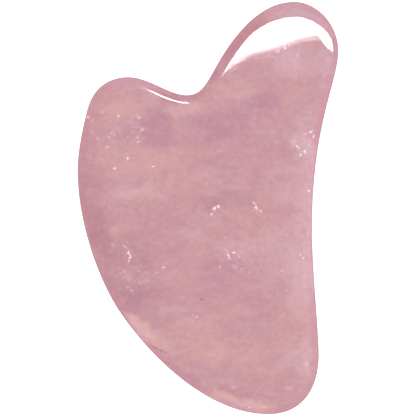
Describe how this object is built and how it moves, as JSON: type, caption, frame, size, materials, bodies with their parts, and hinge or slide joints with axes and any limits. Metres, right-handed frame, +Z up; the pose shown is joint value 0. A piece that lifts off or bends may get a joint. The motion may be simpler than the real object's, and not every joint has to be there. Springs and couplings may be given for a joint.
{
  "type": "gua sha scraper",
  "caption": "Flat heart-wing gua sha scraper of polished rose quartz, with a rounded rim, a tall domed lobe, a jaw notch and a shallow hollow side, for stroking the face and neck",
  "frame": {"origin": "under the middle of the outline's bounding box, on the surface that the board rests on", "axes": "+Z is up through the thickness, +Y points from the foot to the tall upper lobe, and +X points to the hollow side"},
  "size_m": [0.0506, 0.08, 0.006],
  "materials": {
    "rose_quartz": "polished, milky and glossy, with pale veils and small bright flecks"
  },
  "bodies": {
    "root": {"scraper_stone": "rose_quartz"}
  },
  "joints": []
}
